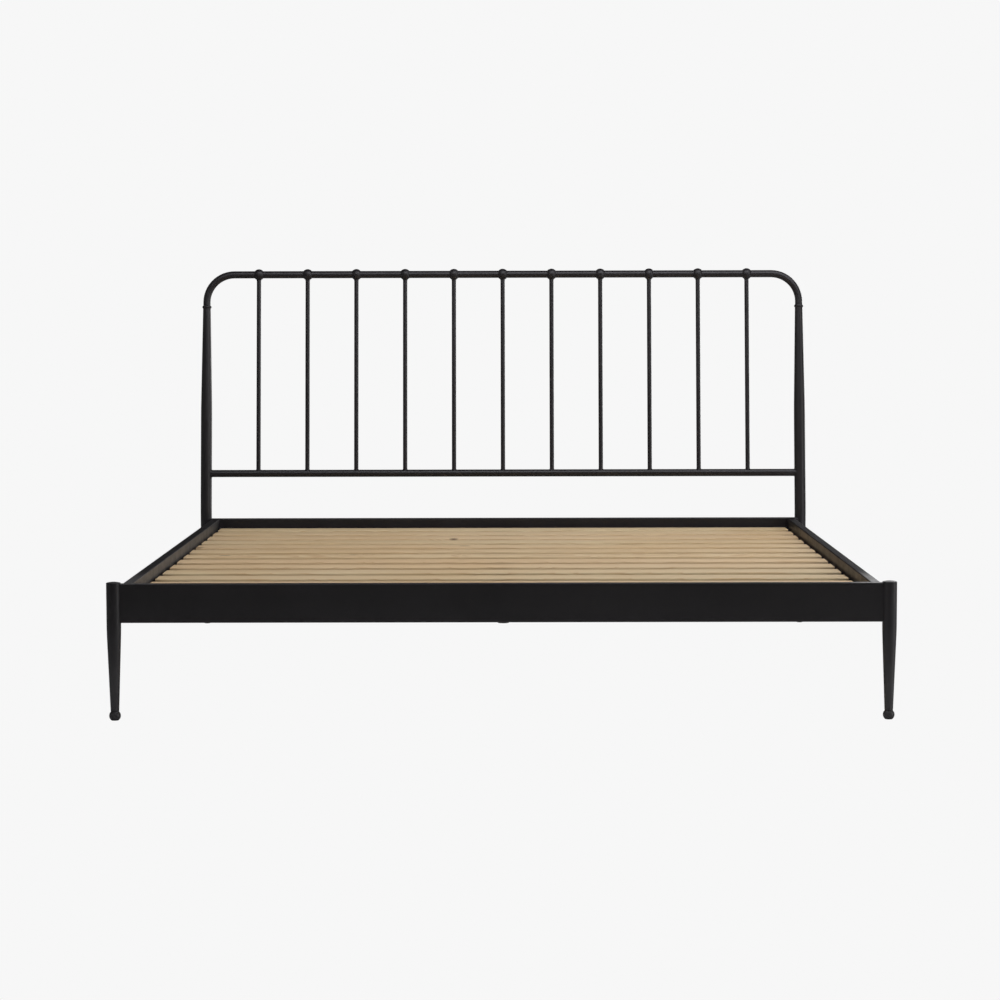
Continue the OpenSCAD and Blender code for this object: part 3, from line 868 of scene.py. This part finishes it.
def make_world():
    """The camera sees an even pale background; the bed is lit by a dim room that glows on the left."""
    world = bpy.data.worlds.new("studio")
    bpy.context.scene.world = world
    world.use_nodes = True
    tree = world.node_tree
    tree.nodes.clear()
    direction = add(tree, "ShaderNodeTexCoord").outputs["Generated"]
    from_left = vector_node(tree, "DOT_PRODUCT", direction, AMBIENT_SIDE)
    glow = math_node(tree, "POWER", math_node(tree, "MAXIMUM", from_left.outputs["Value"], 0.0), 4.0)
    strength = math_node(tree, "ADD", math_node(tree, "MULTIPLY", glow, AMBIENT_LEFT), AMBIENT_EVEN)
    lit = add(tree, "ShaderNodeBackground", [("Color", CLEAR_WHITE), ("Strength", strength)])
    plain = add(tree, "ShaderNodeBackground", [("Color", CLEAR_WHITE), ("Strength", BACKGROUND)])
    seen = add(tree, "ShaderNodeLightPath").outputs["Is Camera Ray"]
    mix = add(tree, "ShaderNodeMixShader", [("Fac", seen)])
    tree.links.new(lit.outputs["Background"], mix.inputs[1])
    tree.links.new(plain.outputs["Background"], mix.inputs[2])
    output = add(tree, "ShaderNodeOutputWorld")
    tree.links.new(mix.outputs["Shader"], output.inputs["Surface"])


def make_softbox(name, place, target, width, height, power, spread=180, colour=(1, 1, 1)):
    """A rectangular soft light, its power in watts and spread in degrees; the camera doesn't see it."""
    light = bpy.data.lights.new(name, "AREA")
    light.shape = "RECTANGLE"
    light.size, light.size_y = width, height
    light.energy = power
    light.spread = math.radians(spread)
    light.color = colour
    lamp = bpy.data.objects.new(name, light)
    lamp.matrix_world = facing(place, Vector(place) - Vector(target))
    lamp.visible_camera = False
    bpy.context.scene.collection.objects.link(lamp)


make_floor()
make_world()
make_softbox("overhead", (0.6, -0.6, 2.9), (0, 0.9, 0.9), 4.2, 1.6, 77.0, colour=(0.93, 0.94, 1.0))
make_softbox("right_strip", (6.0, -2.4, 1.6), (0, -0.6, 0.4), 1.6, 3.6, 83.0)
make_softbox("back_right", (3.2, 4.5, 1.6), (0, 0, 0.6), 1.6, 2.6, 85.0)
# Lamps over the pale floor, which returns their light to the rail, the legs and the ball feet
make_softbox("floor_front", (0.6, -2.0, 1.0), (0.6, -2.001, 0), 2.4, 0.9, 0.9, 80)
make_softbox("floor_right", (1.9, -1.6, 1.0), (1.9, -1.601, 0), 1.2, 1.2, 3.2, 80)
make_softbox("feet", (0.1, -1.36, 0.15), (0.1, -1.361, 0), 3.0, 0.4, 2.2)
# Light that a pale mattress returns to the leg caps
make_softbox("cap_left", (-0.99, -0.8, 0.5), (-0.99, -1.08, 0.385), 0.16, 0.2, 0.03)
make_softbox("cap_right", (1.02, -0.8, 0.5), (0.99, -1.08, 0.385), 0.16, 0.2, 0.2)

# ---- Camera ----

CAMERA_PLACE = (0.01995, -7.75657, 1.05602)
CAMERA_TURN = math.radians(0.1975)
CAMERA_DOWN = math.radians(4.2206)
CAMERA_ROLL = math.radians(-0.1268)
CAMERA_LENS = 94.70  # mm
SENSOR_WIDTH = 36  # mm

camera = bpy.data.objects.new("camera", bpy.data.cameras.new("camera"))
bpy.context.scene.collection.objects.link(camera)
camera.data.lens = CAMERA_LENS
camera.data.sensor_width = SENSOR_WIDTH
camera.data.clip_end = 2 * FLOOR_SIZE
turn = Matrix.Rotation(CAMERA_TURN, 4, "Z")
pitch = Matrix.Rotation(math.pi / 2 - CAMERA_DOWN, 4, "X")
roll = Matrix.Rotation(CAMERA_ROLL, 4, "Z")
camera.matrix_world = Matrix.Translation(CAMERA_PLACE) @ turn @ pitch @ roll
bpy.context.scene.camera = camera
bpy.context.scene.view_settings.view_transform = "Standard"
